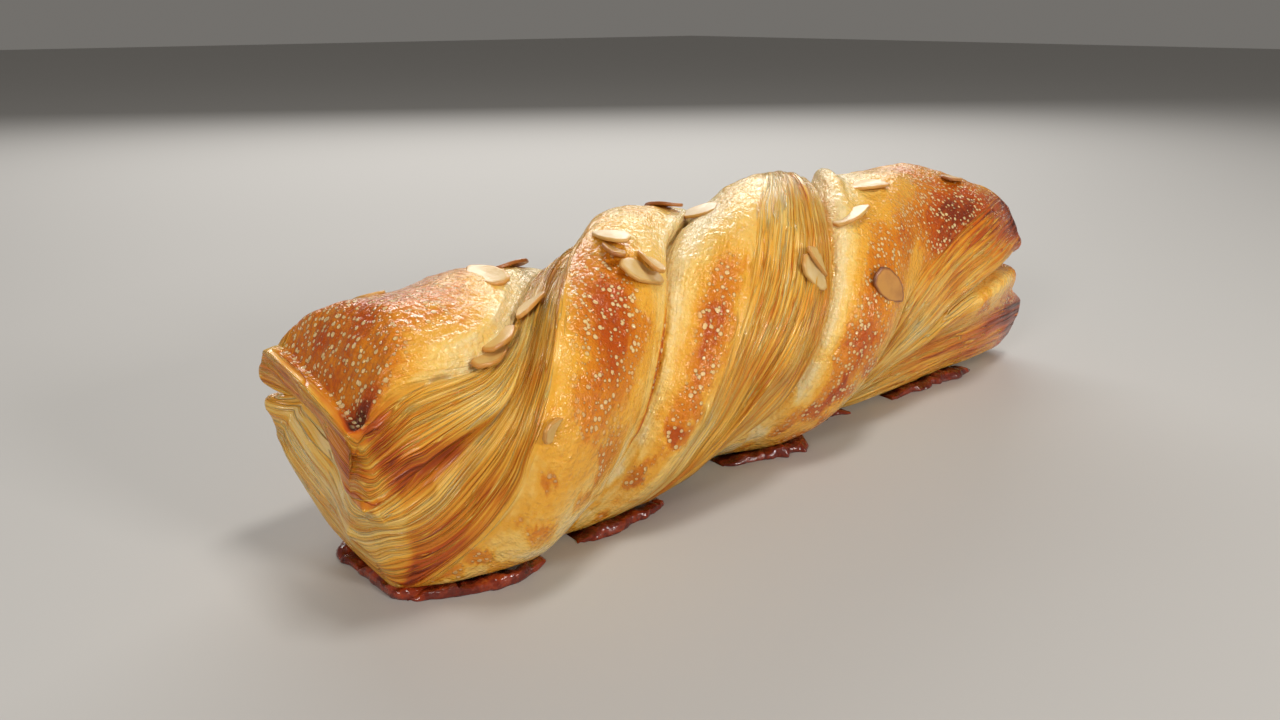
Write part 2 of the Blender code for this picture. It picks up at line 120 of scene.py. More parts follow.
# Ring steps count the profile's points round the section, from the front mouth under the body and over it.
BACK_MOUTH = len(PROFILE_UNDER) + 1
FULL_RING = BACK_MOUTH + len(PROFILE_OVER) + 1
LIP_SETTLING = 1.6
CRISPNESS = 0.75
TRAY_ROUNDING = 2.0
SHEET_THICKNESS = 15.0

# At the left end the lower sheet lies back from the upper one, and its near corner is rounded.
LEFT_LIE_BACK = 5.5
LEFT_JOINT_HEIGHT = 28.0
LEFT_CORNER_ROUNDING = 6.0
LEFT_CORNER_TOP = 30.0
LEFT_CORNER_FADE = 10.0
LEFT_CORNER_START = 6.0
LEFT_CORNER_REACH = 20.0
LEFT_ZONE_END = -65.0
LEFT_ZONE_LENGTH = 25.0
# The top of the left end is rounded down to a shoulder, and its near side leans in.
SHOULDER_START = -75.0
SHOULDER_LENGTH = 18.0
SHOULDER_TOP = 50.0
SHOULDER_EDGE = 36.7
SHOULDER_SLOPE = 0.18
SHOULDER_CURVE = 2.5
SHOULDER_SOFTNESS = 4.0
LEAN_IN = 5.5
LEAN_START = 22.0
LEAN_RISE = 13.0
# At the right end the lower sheet sticks out under the upper one.
RIGHT_UNDERLAP = 11.5
RIGHT_JOINT_HEIGHT = 23.0
RIGHT_JOINT_FADE = 8.0
RIGHT_ZONE_START = 45.0
RIGHT_ZONE_LENGTH = 37.0

# How each end closes on its mouth: share of the way to the mouth line and reach outwards, for the lower jaw
# and then for the upper one.
LEFT_CAP = (
    (0.0, 0.0, 0.0, 0.0),
    (0.04, 1.4, 0.01, 1.6),
    (0.13, 2.2, 0.05, 2.8),
    (0.34, 2.5, 0.28, 2.4),
    (0.63, 1.4, 0.62, 1.0),
    (0.86, -1.0, 0.87, -1.0),
    (0.965, -5.0, 0.965, -5.0),
)
RIGHT_CAP = (
    (0.0, 0.0, 0.0, 0.0),
    (0.025, 2.0, 0.02, 1.8),
    (0.09, 3.4, 0.07, 3.0),
    (0.30, 4.2, 0.28, 3.8),
    (0.60, 3.2, 0.60, 3.4),
    (0.85, -1.0, 0.86, 0.0),
    (0.965, -9.0, 0.965, -9.0),
)
MOUTH_CORNER = 7.0
UPRIGHT_WEIGHT = 0.12

SECTIONS = 352
SECTION_POINTS = 216
CAP_RINGS = 30


def smooth_curve(values, u):
    """A smooth curve through values at 0, 1, 2 and so on, read at u."""
    v = np.asarray(values, float)
    p = np.concatenate([[2 * v[0] - v[1]], v, [2 * v[-1] - v[-2]]])
    u = np.asarray(u, float)
    k = np.clip(np.floor(u).astype(int), 0, len(v) - 2)
    f = u - k
    a, b, c, d = p[k], p[k + 1], p[k + 2], p[k + 3]
    return b + 0.5 * f * (c - a + f * (2 * a - 5 * b + 4 * c - d + f * (3 * (b - c) + d - a)))


def along(x, values):
    """Reads the values given at the stations at any place along the length."""
    return smooth_curve(values, (np.asarray(x, float) - FIRST_STATION) / STATION_PITCH)


def ease(t):
    """A smooth step from 0 to 1."""
    t = np.clip(t, 0.0, 1.0)
    return t * t * (3 - 2 * t)


def rising(value, start, full):
    """0 up to start, 1 from full on and eased between, where full may also lie below start."""
    return ease((np.asarray(value, float) - start) / (full - start))


def bell(t):
    """1 where t is 0, fading to nothing by about 2 and -2."""
    return np.exp(-(t**2))


def across(face, place, faces, mouth):
    """The turn at a place across a face. On the front cut edge, place 0.5 is where the mouth opens."""
    start, end = faces[face]
    if face == "front_cut":
        place = np.where(place < 0.5, 2 * place * mouth, 1 - 2 * (1 - place) * (1 - mouth))
    return start + (end - start) * place


def profile_at(x):
    """Turns, radius shares and paleness of the profile points round the ring, with one row for each x."""
    fold = {name: along(x, turns) for name, turns in FOLD_TURN.items()}
    faces = {
        "front_cut": (fold["top_front"], fold["under_front"]),
        "under_near": (fold["under_front"], fold["under_crease"]),
        "under_far": (fold["under_crease"], fold["under_back"]),
        "back_cut": (fold["under_back"], fold["top_back"]),
        "top": (fold["top_back"], fold["top_front"] - 360),
    }
    mouth = along(x, FRONT_MOUTH_PLACE)
    opening = {name: np.clip(along(x, v), 0, 1) for name, v in CREASE_OPEN.items()}
    lobe = np.clip(along(x, SIDE_LOBE), 0, 1)
    turns = [across("front_cut", 0.5, faces, mouth)]
    shares = [1 - along(x, FRONT_MOUTH_DEPTH)]
    pale = [np.zeros_like(mouth)]
    for profile in (PROFILE_UNDER, PROFILE_OVER):
        if profile is PROFILE_OVER:
            turns.append(across("back_cut", 0.5, faces, mouth))
            shares.append(1 - along(x, BACK_MOUTH_DEPTH))
            pale.append(np.zeros_like(mouth))
        for face, place, share, crease, gain, _, _, sheltered in profile:
            overhang = max(place - 1, 0) + min(place, 0)
            settled = place - overhang * LIP_SETTLING * (1 - opening[crease])
            turn = across(face, settled, faces, mouth)
            turns.append(turn - 360 * (face == "front_cut" and profile is PROFILE_OVER))
            shares.append(1 + (share + gain * lobe - 1) * opening[crease])
            shelter = crease
            if face == "top":
                shelter = "front" if place > 0.5 else "back"
            pale.append(sheltered * opening[shelter])
    return np.array(turns).T, np.array(shares).T, np.array(pale).T


def ring_steps(points):
    """The ring steps of a section's evenly spread points, half of them under and half over."""
    half = points // 2
    under = np.linspace(0, BACK_MOUTH, half, endpoint=False)
    over = np.linspace(0, FULL_RING - BACK_MOUTH, points - half, endpoint=False)
    return np.concatenate([under, BACK_MOUTH + over])


def spread(columns, points):
    """Reads rows of profile values at a section's points: a little rounded, as dough rounds its folds."""
    s = ring_steps(points)
    k = np.floor(s + 1e-9).astype(int)
    f = s - k
    a, b, c, d = (columns[:, k + i] for i in range(4))
    through = 0.5 * (2 * b + f * (c - a + f * (2 * a - 5 * b + 4 * c - d + f * (3 * (b - c) + d - a))))
    rounded = (
        (1 - f) ** 3 * a
        + (3 * f**3 - 6 * f**2 + 4) * b
        + (-3 * f**3 + 3 * f**2 + 3 * f + 1) * c
        + f**3 * d
    ) / 6
    return CRISPNESS * through + (1 - CRISPNESS) * rounded


def lie_back(x, y, z):
    """How far along X a point of the ends is shifted."""
    low = np.clip(1 - z / LEFT_JOINT_HEIGHT, 0, 1)
    front = np.clip((-y - LEFT_CORNER_START) / LEFT_CORNER_REACH, 0, 1)
    corner = LEFT_CORNER_ROUNDING * front**1.5 * ease((LEFT_CORNER_TOP - z) / LEFT_CORNER_FADE)
    left = np.clip((LEFT_ZONE_END - x) / LEFT_ZONE_LENGTH, 0, 1)
    under = ease((RIGHT_JOINT_HEIGHT - z) / RIGHT_JOINT_FADE)
    right = ease((x - RIGHT_ZONE_START) / RIGHT_ZONE_LENGTH)
    return left * (LEFT_LIE_BACK * low**1.6 + corner) + right * RIGHT_UNDERLAP * under


def shoulder(x, y, z):
    """A point's place across and its height, once the left end's top is rounded down to its edge."""
    edge = SHOULDER_EDGE + SHOULDER_SLOPE * y
    fall = np.clip((SHOULDER_START - x) / SHOULDER_LENGTH, 0, 1) ** SHOULDER_CURVE
    limit = SHOULDER_TOP - (SHOULDER_TOP - edge) * fall
    lowered = 0.5 * (z + limit - np.sqrt((z - limit) ** 2 + (SHOULDER_SOFTNESS * fall) ** 2))
    front = np.clip(-y / HALF_WIDTH[0], 0, 1)
    return y + LEAN_IN * fall * front * ease((lowered - LEAN_START) / LEAN_RISE), lowered


def sections(x, points):
    """Section curves at each x (curves by points by XYZ, in millimetres), and how pale each point is."""
    x = np.asarray(x, float)
    turns, shares, pale = profile_at(x)
    turns = np.concatenate([turns[:, -1:] + 360, turns, turns[:, :3] - 360], axis=1)
    shares, pale = (np.concatenate([v[:, -1:], v, v[:, :3]], axis=1) for v in (shares, pale))
    turn = np.radians(spread(turns, points))
    share = spread(shares, points)
    over, under = along(x, TOP_SQUARENESS)[:, None], along(x, UNDER_SQUARENESS)[:, None]
    squareness = np.where(np.sin(turn) > 0, over, under)
    ring = (np.abs(np.cos(turn)) ** squareness + np.abs(np.sin(turn)) ** squareness) ** (-1 / squareness)
    y = along(x, CENTRE_Y)[:, None] - along(x, HALF_WIDTH)[:, None] * share * ring * np.cos(turn)
    z = along(x, CENTRE_Z)[:, None] + along(x, HALF_HEIGHT)[:, None] * share * ring * np.sin(turn)
    y, z = np.where(x[:, None] < SHOULDER_START, shoulder(x[:, None], y, z), (y, z))
    rounding = (z + TRAY_ROUNDING) ** 2 / (4 * TRAY_ROUNDING)
    z = np.where(z > TRAY_ROUNDING, z, np.where(z > -TRAY_ROUNDING, rounding, 0.0))
    place = np.stack([x[:, None] + lie_back(x[:, None], y, z), y, z], axis=-1)
    return place, spread(pale, points)


def mouth_line(curve):
    """For each point of an end curve, its place on the line between the front and the back mouth."""
    half = len(curve) // 2

    def share_of_way(points):
        step = np.abs(np.diff(points, axis=0))
        way = np.concatenate([[0], np.cumsum(step[:, 1] + UPRIGHT_WEIGHT * step[:, 2])])
        return (way / way[-1])[:, None]

    front, back = curve[0], curve[half]
    under = front + (back - front) * share_of_way(curve[: half + 1])
    over = back + (front - back) * share_of_way(np.concatenate([curve[half:], curve[:1]]))
    return np.concatenate([under, over[1:-1]])


def cap(curve, stages, outward):
    """The rings that close an end, from its last section in to the mouth line, and how far in they are."""
    line = mouth_line(curve)
    jaw = ease(np.linalg.norm((line - curve)[:, 1:], axis=1) / MOUTH_CORNER)
    lower = np.arange(len(curve)) < len(curve) // 2
    mouth_reach = stages[-1][1]
    columns = np.array(stages).T
    rings, shares = [], []
    for u in np.linspace(0, len(stages) - 1, CAP_RINGS + 1)[1:]:
        low_share, low_reach, high_share, high_reach = (smooth_curve(column, u) for column in columns)
        share = np.where(lower, low_share, high_share)
        reach = np.where(lower, low_reach, high_reach)
        ring = curve + (line - curve) * share[:, None]
        ring[:, 0] = curve[:, 0] + (line[:, 0] - curve[:, 0]) * ease(share)
        ring[:, 0] += outward * (reach * jaw + mouth_reach * share * (1 - jaw))
        rings.append(ring)
        shares.append(share)
    return np.array(rings), np.array(shares)


LATTICE_SIZE = 24
rng = np.random.default_rng(11)
lattice = rng.uniform(-1, 1, (LATTICE_SIZE, LATTICE_SIZE, LATTICE_SIZE))


def lumps(points, size, shift=0.0):
    """Soft random lumps of about the given size in millimetres, between -1 and 1."""
    q = np.asarray(points, float) / size + shift
    k = np.floor(q).astype(int)
    f = ease(q - k)
    height = 0.0
    for corner in range(8):
        step = np.array([corner & 1, corner >> 1 & 1, corner >> 2 & 1])
        weight = np.prod(np.where(step == 1, f, 1 - f), axis=-1)
        i = (k + step) % LATTICE_SIZE
        height = height + weight * lattice[i[..., 0], i[..., 1], i[..., 2]]
    return height


def outward_normals(grid):
    """The outward direction at each point of a grid of rings."""
    lengthwise = np.gradient(grid, axis=0)
    around = np.roll(grid, -1, axis=1) - np.roll(grid, 1, axis=1)
    n = np.cross(around, lengthwise)
    return n / np.maximum(np.linalg.norm(n, axis=-1, keepdims=True), 1e-9)


# The skin is a grid: rows along the length, the ends' rings included, by points round the section. way_in
# is the share of the way into a mouth, and 0 on the body.
section_x = np.linspace(LEFT_END, RIGHT_END, SECTIONS)
body, body_pale = sections(section_x, SECTION_POINTS)
left_cap, left_share = cap(body[0], LEFT_CAP, -1)
right_cap, right_share = cap(body[-1], RIGHT_CAP, 1)
skin = np.concatenate([left_cap[::-1], body, right_cap])
way_in = np.concatenate([left_share[::-1], np.zeros((SECTIONS, SECTION_POINTS)), right_share])
row = np.arange(len(skin))
body_row = np.clip(row - CAP_RINGS, 0, SECTIONS - 1)
row_x = section_x[body_row][:, None]
at_left_end = (body_row == 0)[:, None]
pale = body_pale[body_row]
steps = ring_steps(SECTION_POINTS)
round_steps = np.broadcast_to(steps, way_in.shape)

# What each place is: cut edge or glazed face, and its depth in its sheet. The sheets meet at the mouths.
SHEETS_MEET = (1.0, 1.0)
kinds = [SHEETS_MEET]
kinds += [point[5:7] for point in PROFILE_UNDER]
kinds += [SHEETS_MEET]
kinds += [point[5:7] for point in PROFILE_OVER]
kinds += [SHEETS_MEET]
ring_cut, ring_depth = (np.interp(steps, np.arange(len(kinds)), kind) for kind in zip(*kinds))
cut_edge = rising(ring_cut, 0.25, 0.75)
rolled = np.where(steps > BACK_MOUTH, 0.6, 1 - 0.15 * (1 - cut_edge))
depth = 1 - (1 - ring_depth) * (1 - way_in**rolled)
cut = np.maximum(cut_edge, rising(way_in, 0, 0.008))
inside = rising(way_in, 0.72, 0.92) * (skin[..., 1] > -2)
# At the right end the lower sheet sticks out, and the rim of its glazed top shows beside the mouth.
jaw_top = rising(row_x, 56, 66) * rising(steps, 2.15, 1.85) * (way_in < 0.5)
cut *= 1 - jaw_top

# At the left end the seam between the sheets sags towards the near corner, and the near part of the mouth
# is filled out to just beyond the end, where its lips meet.
SEAM_SAG = 4.5
LIPS_BEYOND_END = 2.6
LOWER_LIP_BACK = 0.9
sagging = rising(row_x, -81, -93) * rising(skin[..., 1], 18, -4)
sagging *= np.where(skin[..., 2] > 26, rising(skin[..., 2], 33, 26), rising(skin[..., 2], 10, 24))
skin[..., 2] -= SEAM_SAG * sagging
closing = rising(skin[..., 1], 8, -8) * rising(way_in, 0.3, 0.5) * (row < CAP_RINGS)[:, None]
lips = LEFT_END - LIPS_BEYOND_END + LOWER_LIP_BACK * (steps < BACK_MOUTH) * rising(way_in, 0.3, 0.8)
skin[..., 0] += closing * np.minimum(lips - skin[..., 0], 0.0)

# The lower sheet turns the near corner roundly, so it is smoothed lengthwise there. The fold above it is
# smoothed round the section, and the corner itself both ways.
EDGE_PASSES = 300
FOLD_PASSES = 25
CORNER_PASSES = 120
front_low = rising(skin[..., 1], -4, -12) * rising(skin[..., 2], 1, 6)
front_low *= np.where(steps > BACK_MOUTH + 1, rising(steps, 30.5, 32.5), 1.0)
near_edge = front_low * rising(np.abs(row - CAP_RINGS - 4), 30, 18)[:, None]
near_fold = rising(skin[..., 0], -70, -82) * rising(np.abs(steps - 31.6), 2.2, 0.7) * (way_in < 0.02)
for _ in range(EDGE_PASSES):
    along_way = 0.5 * (skin[:-2] + skin[2:])
    skin[1:-1] += 0.5 * near_edge[1:-1, :, None] * (along_way - skin[1:-1])
for _ in range(FOLD_PASSES):
    round_way = 0.5 * (np.roll(skin, 1, axis=1) + np.roll(skin, -1, axis=1))
    skin += 0.5 * near_fold[..., None] * (round_way - skin)
near_corner = rising(np.abs(row - CAP_RINGS + 2), 13, 6)[:, None] * rising(skin[..., 1], -3, -9)
near_corner *= np.where(steps > BACK_MOUTH + 1, rising(steps, 32.4, 33.8), rising(steps, 2, 0.5))
for _ in range(CORNER_PASSES):
    both_ways = 0.25 * sum(np.roll(skin, shift, axis) for axis in (1, 0) for shift in (1, -1))
    skin += 0.6 * near_corner[..., None] * (both_ways - skin)

# The upper sheet bulges out over the lower one: millimetres at the ring steps round the seam.
BULGE_STEPS = (0, 0.6, 2.2, 32.5, 34.8, 35.7, 36)
BULGE = (-0.3, -0.9, 0, 0, 1.1, 0.9, -0.3)
bulge = np.interp(steps, BULGE_STEPS, BULGE) * rising(skin[..., 0], -62, -80) * (1 - way_in) ** 3
skin += outward_normals(skin) * bulge[..., None]

# Baking leaves nothing even: the faces swell, the layers stand off in ledges, and air lifts blisters. The
# heights, the pitch of the layers, and how far wrinkles and ledges run are in millimetres.
SWELL_HEIGHTS = (0.45, 0.22)
BLISTER_HEIGHT = 0.5
WRINKLE_HEIGHT = 0.16
WRINKLES_A_STEP = 1.6
WRINKLE_RUN = 22.0
LEDGE_HEIGHT = 0.42
LEDGE_RUN = (20.0, 26.0)
LAYER_PITCH = 2.4
RIDGE_HEIGHT = 0.8
normal = outward_normals(skin)
in_sheet = depth * SHEET_THICKNESS / LAYER_PITCH
ledge_way = skin[..., 0] / LEDGE_RUN[0], (skin[..., 1] + skin[..., 2]) / LEDGE_RUN[1]
layer_place = np.stack([in_sheet, *ledge_way], axis=-1)
wrinkle_way = WRINKLES_A_STEP * round_steps, skin[..., 0] / WRINKLE_RUN
wrinkle_place = np.stack([*wrinkle_way, np.zeros_like(way_in)], axis=-1)
ledges = 0.5 - 1.6 * np.abs(lumps(layer_place, 1.0, 3.1))
ledges += 0.5 * lumps(layer_place * (2.2, 1.3, 1.3), 1.0, 9.4)
swelling = SWELL_HEIGHTS[0] * lumps(skin, 13.0) + SWELL_HEIGHTS[1] * lumps(skin, 6.0, 5.3)
blisters = BLISTER_HEIGHT * np.clip(lumps(skin, 3.2, 1.7) - 0.25, 0, 1)
wrinkles = WRINKLE_HEIGHT * lumps(wrinkle_place, 1.0, 7.7)
glazed = 1 - cut
relief = swelling + cut * (1 - inside) * LEDGE_HEIGHT * ledges + glazed * (blisters + wrinkles)
relief *= rising(skin[..., 2], 0.3, 3.3) * (1 - 0.7 * rising(way_in, 0.8, 0.95))
# A thin ridge stands along the left shoulder's hollow.
relief += RIDGE_HEIGHT * bell((steps - 28.9) / 0.22) * bell((skin[..., 0] + 69) / 15) * (1 - way_in) ** 3
skin += normal * relief[..., None]
skin[..., 2] = np.maximum(skin[..., 2], 0.0)

# How brown each place is, from 0 for the cream of sheltered dough to 1 for burnt sugar, with some painted
# light in it too. First comes what all places of a kind share: cut edges are a little browner, and creases
# and low faces paler. Raised ledges on the cut edges are paler than the gaps between them, which is painted
# shade in the gaps, and the crown is paler, a painted highlight for the sheen along the top.
skin_x, skin_z = skin[..., 0], skin[..., 2]
low = rising(skin_z, 24, 8)
glazed_bake = 0.31 + 0.05 * rising(skin_z, 10, 40) - 0.36 * pale - 0.14 * low
# Raised ledges are paler and the gaps between them browner: painted shade in the gaps.
cut_browning_and_ledge_shade = 0.36 + 0.04 * low - 0.08 * pale - 0.07 * ledges
# The crown is paled as a painted highlight, for the sheen that light lays along the top.
crown_painted_highlight = rising(skin_z, 46, 55) * (1 - 0.6 * rising(skin_x, 40, 55))
browning_and_painted_light = glazed * glazed_bake + cut * cut_browning_and_ledge_shade - (0.18 - 0.08 * cut) * crown_painted_highlight - 0.12 * inside
browning_and_painted_light += 0.06 * lumps(skin, 10.0, 2.2) + 0.05 * lumps(skin, 4.0, 8.8)
upper_jaw = rising(np.abs(steps - 29.5), 15, 11) * (rising(way_in, 0, 0.2) - 0.25 * (way_in > 0))
lower_jaw = rising(steps, 15, 13) * rising(way_in, 0, 0.03)
browning_and_painted_light += (0.16 * upper_jaw - 0.13 * lower_jaw) * at_left_end

# Bands that caught more heat, or less, and one thin painted highlight: place along the length, ring step,
# reach along and round, amount.
BANDS = (
    # The top sheet's glazed face.
    (-92, 23.8, 8, 1.8, 0.14),
    (-81, 26.4, 16, 1.8, 0.17),
    (-94, 27.0, 9, 4.5, 0.12),
    (-74, 27.8, 11, 0.9, 0.14),
    (-64, 28.9, 8, 1.3, 0.16),
    # A thin pale line along the ridge of the left shoulder's hollow: a painted highlight.
    (-68, 29.0, 14, 0.16, -0.14),
    (-87, 29.2, 5, 1.2, 0.14),
    (-95, 29.6, 4, 0.9, 0.55),
    (-66, 30.2, 16, 1.3, -0.16),
    (-35, 26.5, 24, 1.3, 0.28),
    (8, 24.1, 9, 0.6, -0.15),
    (4, 25.2, 13, 1.0, 0.30),
    (15, 26.0, 9, 0.9, 0.24),
    (26, 24.3, 8, 1.1, 0.24),
    (31, 27.4, 10, 1.2, 0.22),
    (54, 29.4, 18, 2.2, 0.44),
    # The front cut edge, above the mouth.
    (-91.5, 33.2, 3.5, 1.6, 0.28),
    (-80, 33.5, 14, 2.6, -0.07),
    (-88, 35.2, 6, 0.8, 0.36),
    (-82, 35.9, 7, 0.5, 0.20),
    (-62, 34.0, 13, 2.2, -0.10),
    (34, 35.6, 15, 1.8, -0.26),
    (74, 31.4, 15, 2.4, 0.26),
    (72, 33.0, 18, 1.0, 0.18),
    (88, 33.0, 9, 3.5, 0.25),
    # The front cut edge, below the mouth.
    (-87, 3.4, 8, 1.1, 0.24),
    (31, 3.5, 12, 1.5, -0.14),
    (78, 1.0, 16, 1.0, -0.16),
    (78, 2.6, 18, 1.4, 0.22),
    (88, 2.4, 14, 0.3, 0.30),
    (94, 2.8, 8, 1.8, 0.25),
    # The bottom sheet's glazed face.
    (-68, 6.4, 13, 2.0, -0.14),
    (-51, 4.9, 13, 0.95, 0.30),
    (-36, 6.0, 5, 0.9, -0.12),
    (-2, 6.2, 24, 1.2, 0.30),
    (56, 8.0, 20, 1.5, 0.26),
    (-70, 12.0, 20, 1.4, 0.22),
    (-45, 12.4, 7, 0.7, 0.16),
    (-28, 10.5, 8, 1.0, -0.10),
    (-31, 13.0, 13, 0.80, 0.33),
    (32, 12.0, 24, 1.3, 0.28),
    # The back cut edge.
    (-40, 14.3, 9, 1.0, -0.22),
    (4, 15.0, 12, 1.6, -0.10),
)
on_end = rising(way_in, 0, 0.02) * at_left_end
for middle, step, reach, girth, amount in BANDS:
    round_way = np.abs(steps - step)
    round_way = np.minimum(round_way, FULL_RING - round_way)
    browning_and_painted_light += amount * bell((skin_x - middle) / reach) * bell(round_way / girth) * (1 - 0.8 * on_end)
# Corners that stood out into the heat: middle, radius and amount.
CORNERS = (
    ((88, -22, 40), 7.0, 0.22),
    ((96, -19, 8), 5.0, 0.22),
    ((-94.8, -9.0, 33.6), 3.8, 0.34),
)
for middle, radius, amount in CORNERS:
    browning_and_painted_light += amount * bell(np.linalg.norm(skin - middle, axis=-1) / radius) * (1 - 0.9 * on_end)
# Low on the glazed faces the browning is blotchy.
blotches = rising(lumps(skin, 3.8, 12.7) + 0.35 * lumps(skin, 1.6, 6.6), -0.06, 0.28)
browning_and_painted_light += 0.26 * blotches * glazed * rising(skin_z, 33, 19) * rising(skin_z, 1, 4)
browning_and_painted_light = np.clip(browning_and_painted_light, 0.0, 0.9)
# Syrup stands in the creases as thin brown seams: middle, ring step, reach along and round, and how dark.
SEAMS = (
    (-44, 7.55, 8, 0.30, 0.72),
    (-44, 10.3, 9, 0.55, 0.85),
    (4, 23.3, 9, 0.24, 0.85),
    (-9, 21.6, 7, 0.60, 0.80),
)
for middle, step, reach, girth, dark in SEAMS:
    seam = bell(((skin_x - middle) / reach) ** 2) * bell((steps - step) / girth)
    browning_and_painted_light = np.maximum(browning_and_painted_light, dark * seam)


def skin_faces(rings, points):
    """Quads between neighbouring rings, and strips that close the slit left in each mouth."""
    i = np.arange(rings - 1)[:, None] * points
    j = np.arange(points)[None, :]
    k = (j + 1) % points
    quads = np.stack([i + j, i + points + j, i + points + k, i + k], axis=-1).reshape(-1, 4).tolist()
    last = (rings - 1) * points
    for a in range(points // 2):
        for start, back_to_front in ((0, True), (last, False)):
            corners = [start + a, start + a + 1, start + points - a - 1, start + (points - a) % points]
            corners = list(dict.fromkeys(corners))
            quads.append(corners[::-1] if back_to_front else corners)
    return quads


def give_values(piece, name, values):
    """Stores one value for each point, for the piece's material to read."""
    layer = piece.data.attributes.new(name, "FLOAT", "POINT")
    layer.data.foreach_set("value", np.ascontiguousarray(values, np.float32).ravel())


def new_piece(name, points, faces):
    """A smooth piece from points in millimetres, set down from the section curves' place in the frame."""
    mesh = bpy.data.meshes.new(name)
    mesh.from_pydata(((np.asarray(points, float) + TWIST_PLACE) * MM).tolist(), [], faces)
    mesh.shade_smooth()
    piece = bpy.data.objects.new(name, mesh)
    bpy.context.scene.collection.objects.link(piece)
    return piece


STREAKS_A_STEP = 4.2
twist = new_piece("puff_pastry_twist", skin.reshape(-1, 3), skin_faces(len(skin), SECTION_POINTS))
# The browning is stored with the painted highlights and painted shade put into it.
give_values(twist, "browning_and_painted_light", browning_and_painted_light)
give_values(twist, "cut", cut)
give_values(twist, "depth", depth * SHEET_THICKNESS)
give_values(twist, "streak", STREAKS_A_STEP * round_steps)


def new_finish(name):
    """A new material, with its node tree and its shader."""
    material = bpy.data.materials.new(name)
    material.use_nodes = True
    tree = material.node_tree
    return material, tree, tree.nodes["Principled BSDF"]


def put(tree, kind, inputs=(), **settings):
    """Adds a shader node, sets it up, and feeds its inputs with values or with other nodes' outputs."""
    node = tree.nodes.new(kind)
    for key, value in settings.items():
        setattr(node, key, value)
    for key, value in inputs:
        if isinstance(value, bpy.types.NodeSocket):
            tree.links.new(value, node.inputs[key])
        else:
            node.inputs[key].default_value = value
    return node


def sums(tree, operation, *values):
    """One arithmetic node, fed with numbers or other nodes' outputs."""
    return put(tree, "ShaderNodeMath", enumerate(values), operation=operation).outputs[0]


def product(tree, first, *others):
    for other in others:
        first = sums(tree, "MULTIPLY", first, other)
    return first


def total(tree, first, *others):
    for other in others:
        first = sums(tree, "ADD", first, other)
    return first


def centred(tree, noise, amount):
    """A noise between 0 and 1, made to swing by the amount about 0."""
    return sums(tree, "MULTIPLY_ADD", noise, amount, -0.5 * amount)


def between(tree, value, low, high, to_low=0.0, to_high=1.0):
    """An eased slope: to_low where the value is low, and to_high where it is high."""
    inputs = [("Value", value), ("From Min", low), ("From Max", high)]
    inputs += [("To Min", to_low), ("To Max", to_high)]
    return put(tree, "ShaderNodeMapRange", inputs, interpolation_type="SMOOTHSTEP").outputs["Result"]


def grain(tree, vector, scale, detail=2.0, roughness=0.5, stretch=None):
    """Soft noise between 0 and 1. Stretch scales the three directions of its place first."""
    if stretch:
        vector = put(tree, "ShaderNodeMapping", [("Vector", vector), ("Scale", stretch)]).outputs[0]
    inputs = [("Vector", vector), ("Scale", scale), ("Detail", detail), ("Roughness", roughness)]
    return put(tree, "ShaderNodeTexNoise", inputs).outputs["Fac"]


def thin_lines(tree, noise, width):
    """Thin winding lines where a noise passes its middle value."""
    away = sums(tree, "ABSOLUTE", sums(tree, "SUBTRACT", noise, 0.5))
    return between(tree, away, 0.0, width, 1.0, 0.0)


def value_of(tree, name):
    """A value stored with the points of the piece."""
    return put(tree, "ShaderNodeAttribute", attribute_name=name).outputs["Fac"]


def srgb(r, g, b):
    """A colour given as it looks on screen, 0 to 255, as the shader's linear value."""
    c = np.array([r, g, b]) / 255
    linear = np.where(c <= 0.04045, c / 12.92, ((c + 0.055) / 1.055) ** 2.4)
    return (*linear.tolist(), 1.0)


def colours(tree, value, stops):
    """A row of colours, each at its own value, that pass softly into each other."""
    ramp = put(tree, "ShaderNodeValToRGB", [("Fac", value)])
    ramp.color_ramp.interpolation = "EASE"
    elements = ramp.color_ramp.elements
    while len(elements) < len(stops):
        elements.new(0.5)
    for element, (position, colour) in zip(elements, stops):
        element.position = position
        element.color = srgb(*colour)
    return ramp.outputs["Color"]


def raise_grain(tree, shader, height, strength, distance):
    """Relief in the shading alone: the distance is how high, in metres, a height of 1 stands."""
    bump = put(tree, "ShaderNodeBump", [("Height", height), ("Strength", strength), ("Distance", distance)])
    tree.links.new(bump.outputs["Normal"], shader.inputs["Normal"])
    return bump.outputs["Normal"]


crust, tree, shader = new_finish("baked_puff_pastry")
spot = put(tree, "ShaderNodeTexCoord").outputs["Object"]
spot_parts = put(tree, "ShaderNodeSeparateXYZ", [("Vector", spot)]).outputs
# The stored browning, with its painted highlights and painted shade.
browning_and_painted_light_value = value_of(tree, "browning_and_painted_light")
cut_value = value_of(tree, "cut")
glazed_value = sums(tree, "SUBTRACT", 1.0, cut_value)

# Layers on the cut edges: many thin leaves, seen as strands that run with the strip. The scales say how
# fast the strands change along the length and across it, for each metre.
STRAND_SCALES = (55.0, 45.0)
run_across = sums(tree, "ADD", spot_parts["Y"], spot_parts["Z"])
strand_inputs = [
    ("X", value_of(tree, "depth")),
    ("Y", sums(tree, "MULTIPLY", spot_parts["X"], STRAND_SCALES[0])),
    ("Z", sums(tree, "MULTIPLY", run_across, STRAND_SCALES[1])),
]
strand_place = put(tree, "ShaderNodeCombineXYZ", strand_inputs).outputs[0]
ribs = between(tree, grain(tree, strand_place, 1.0, 1.5, stretch=(1.3, 0.9, 0.9)), 0.36, 0.64)
fine_layers = grain(tree, strand_place, 1.0, 2.0, 0.55, stretch=(3.0, 1.2, 1.2))
broad_layers = grain(tree, strand_place, 1.0, stretch=(0.5, 0.6, 0.6))
dark_strands = thin_lines(tree, grain(tree, strand_place, 1.0, 1.0, stretch=(0.9, 0.7, 0.7)), 0.03)
# The pale strands stand raised, and their paleness is in part a painted glint along them.
raised_strands_and_painted_glints = thin_lines(tree, grain(tree, strand_place, 1.3, 1.0, stretch=(1.1, 0.8, 0.8)), 0.035)

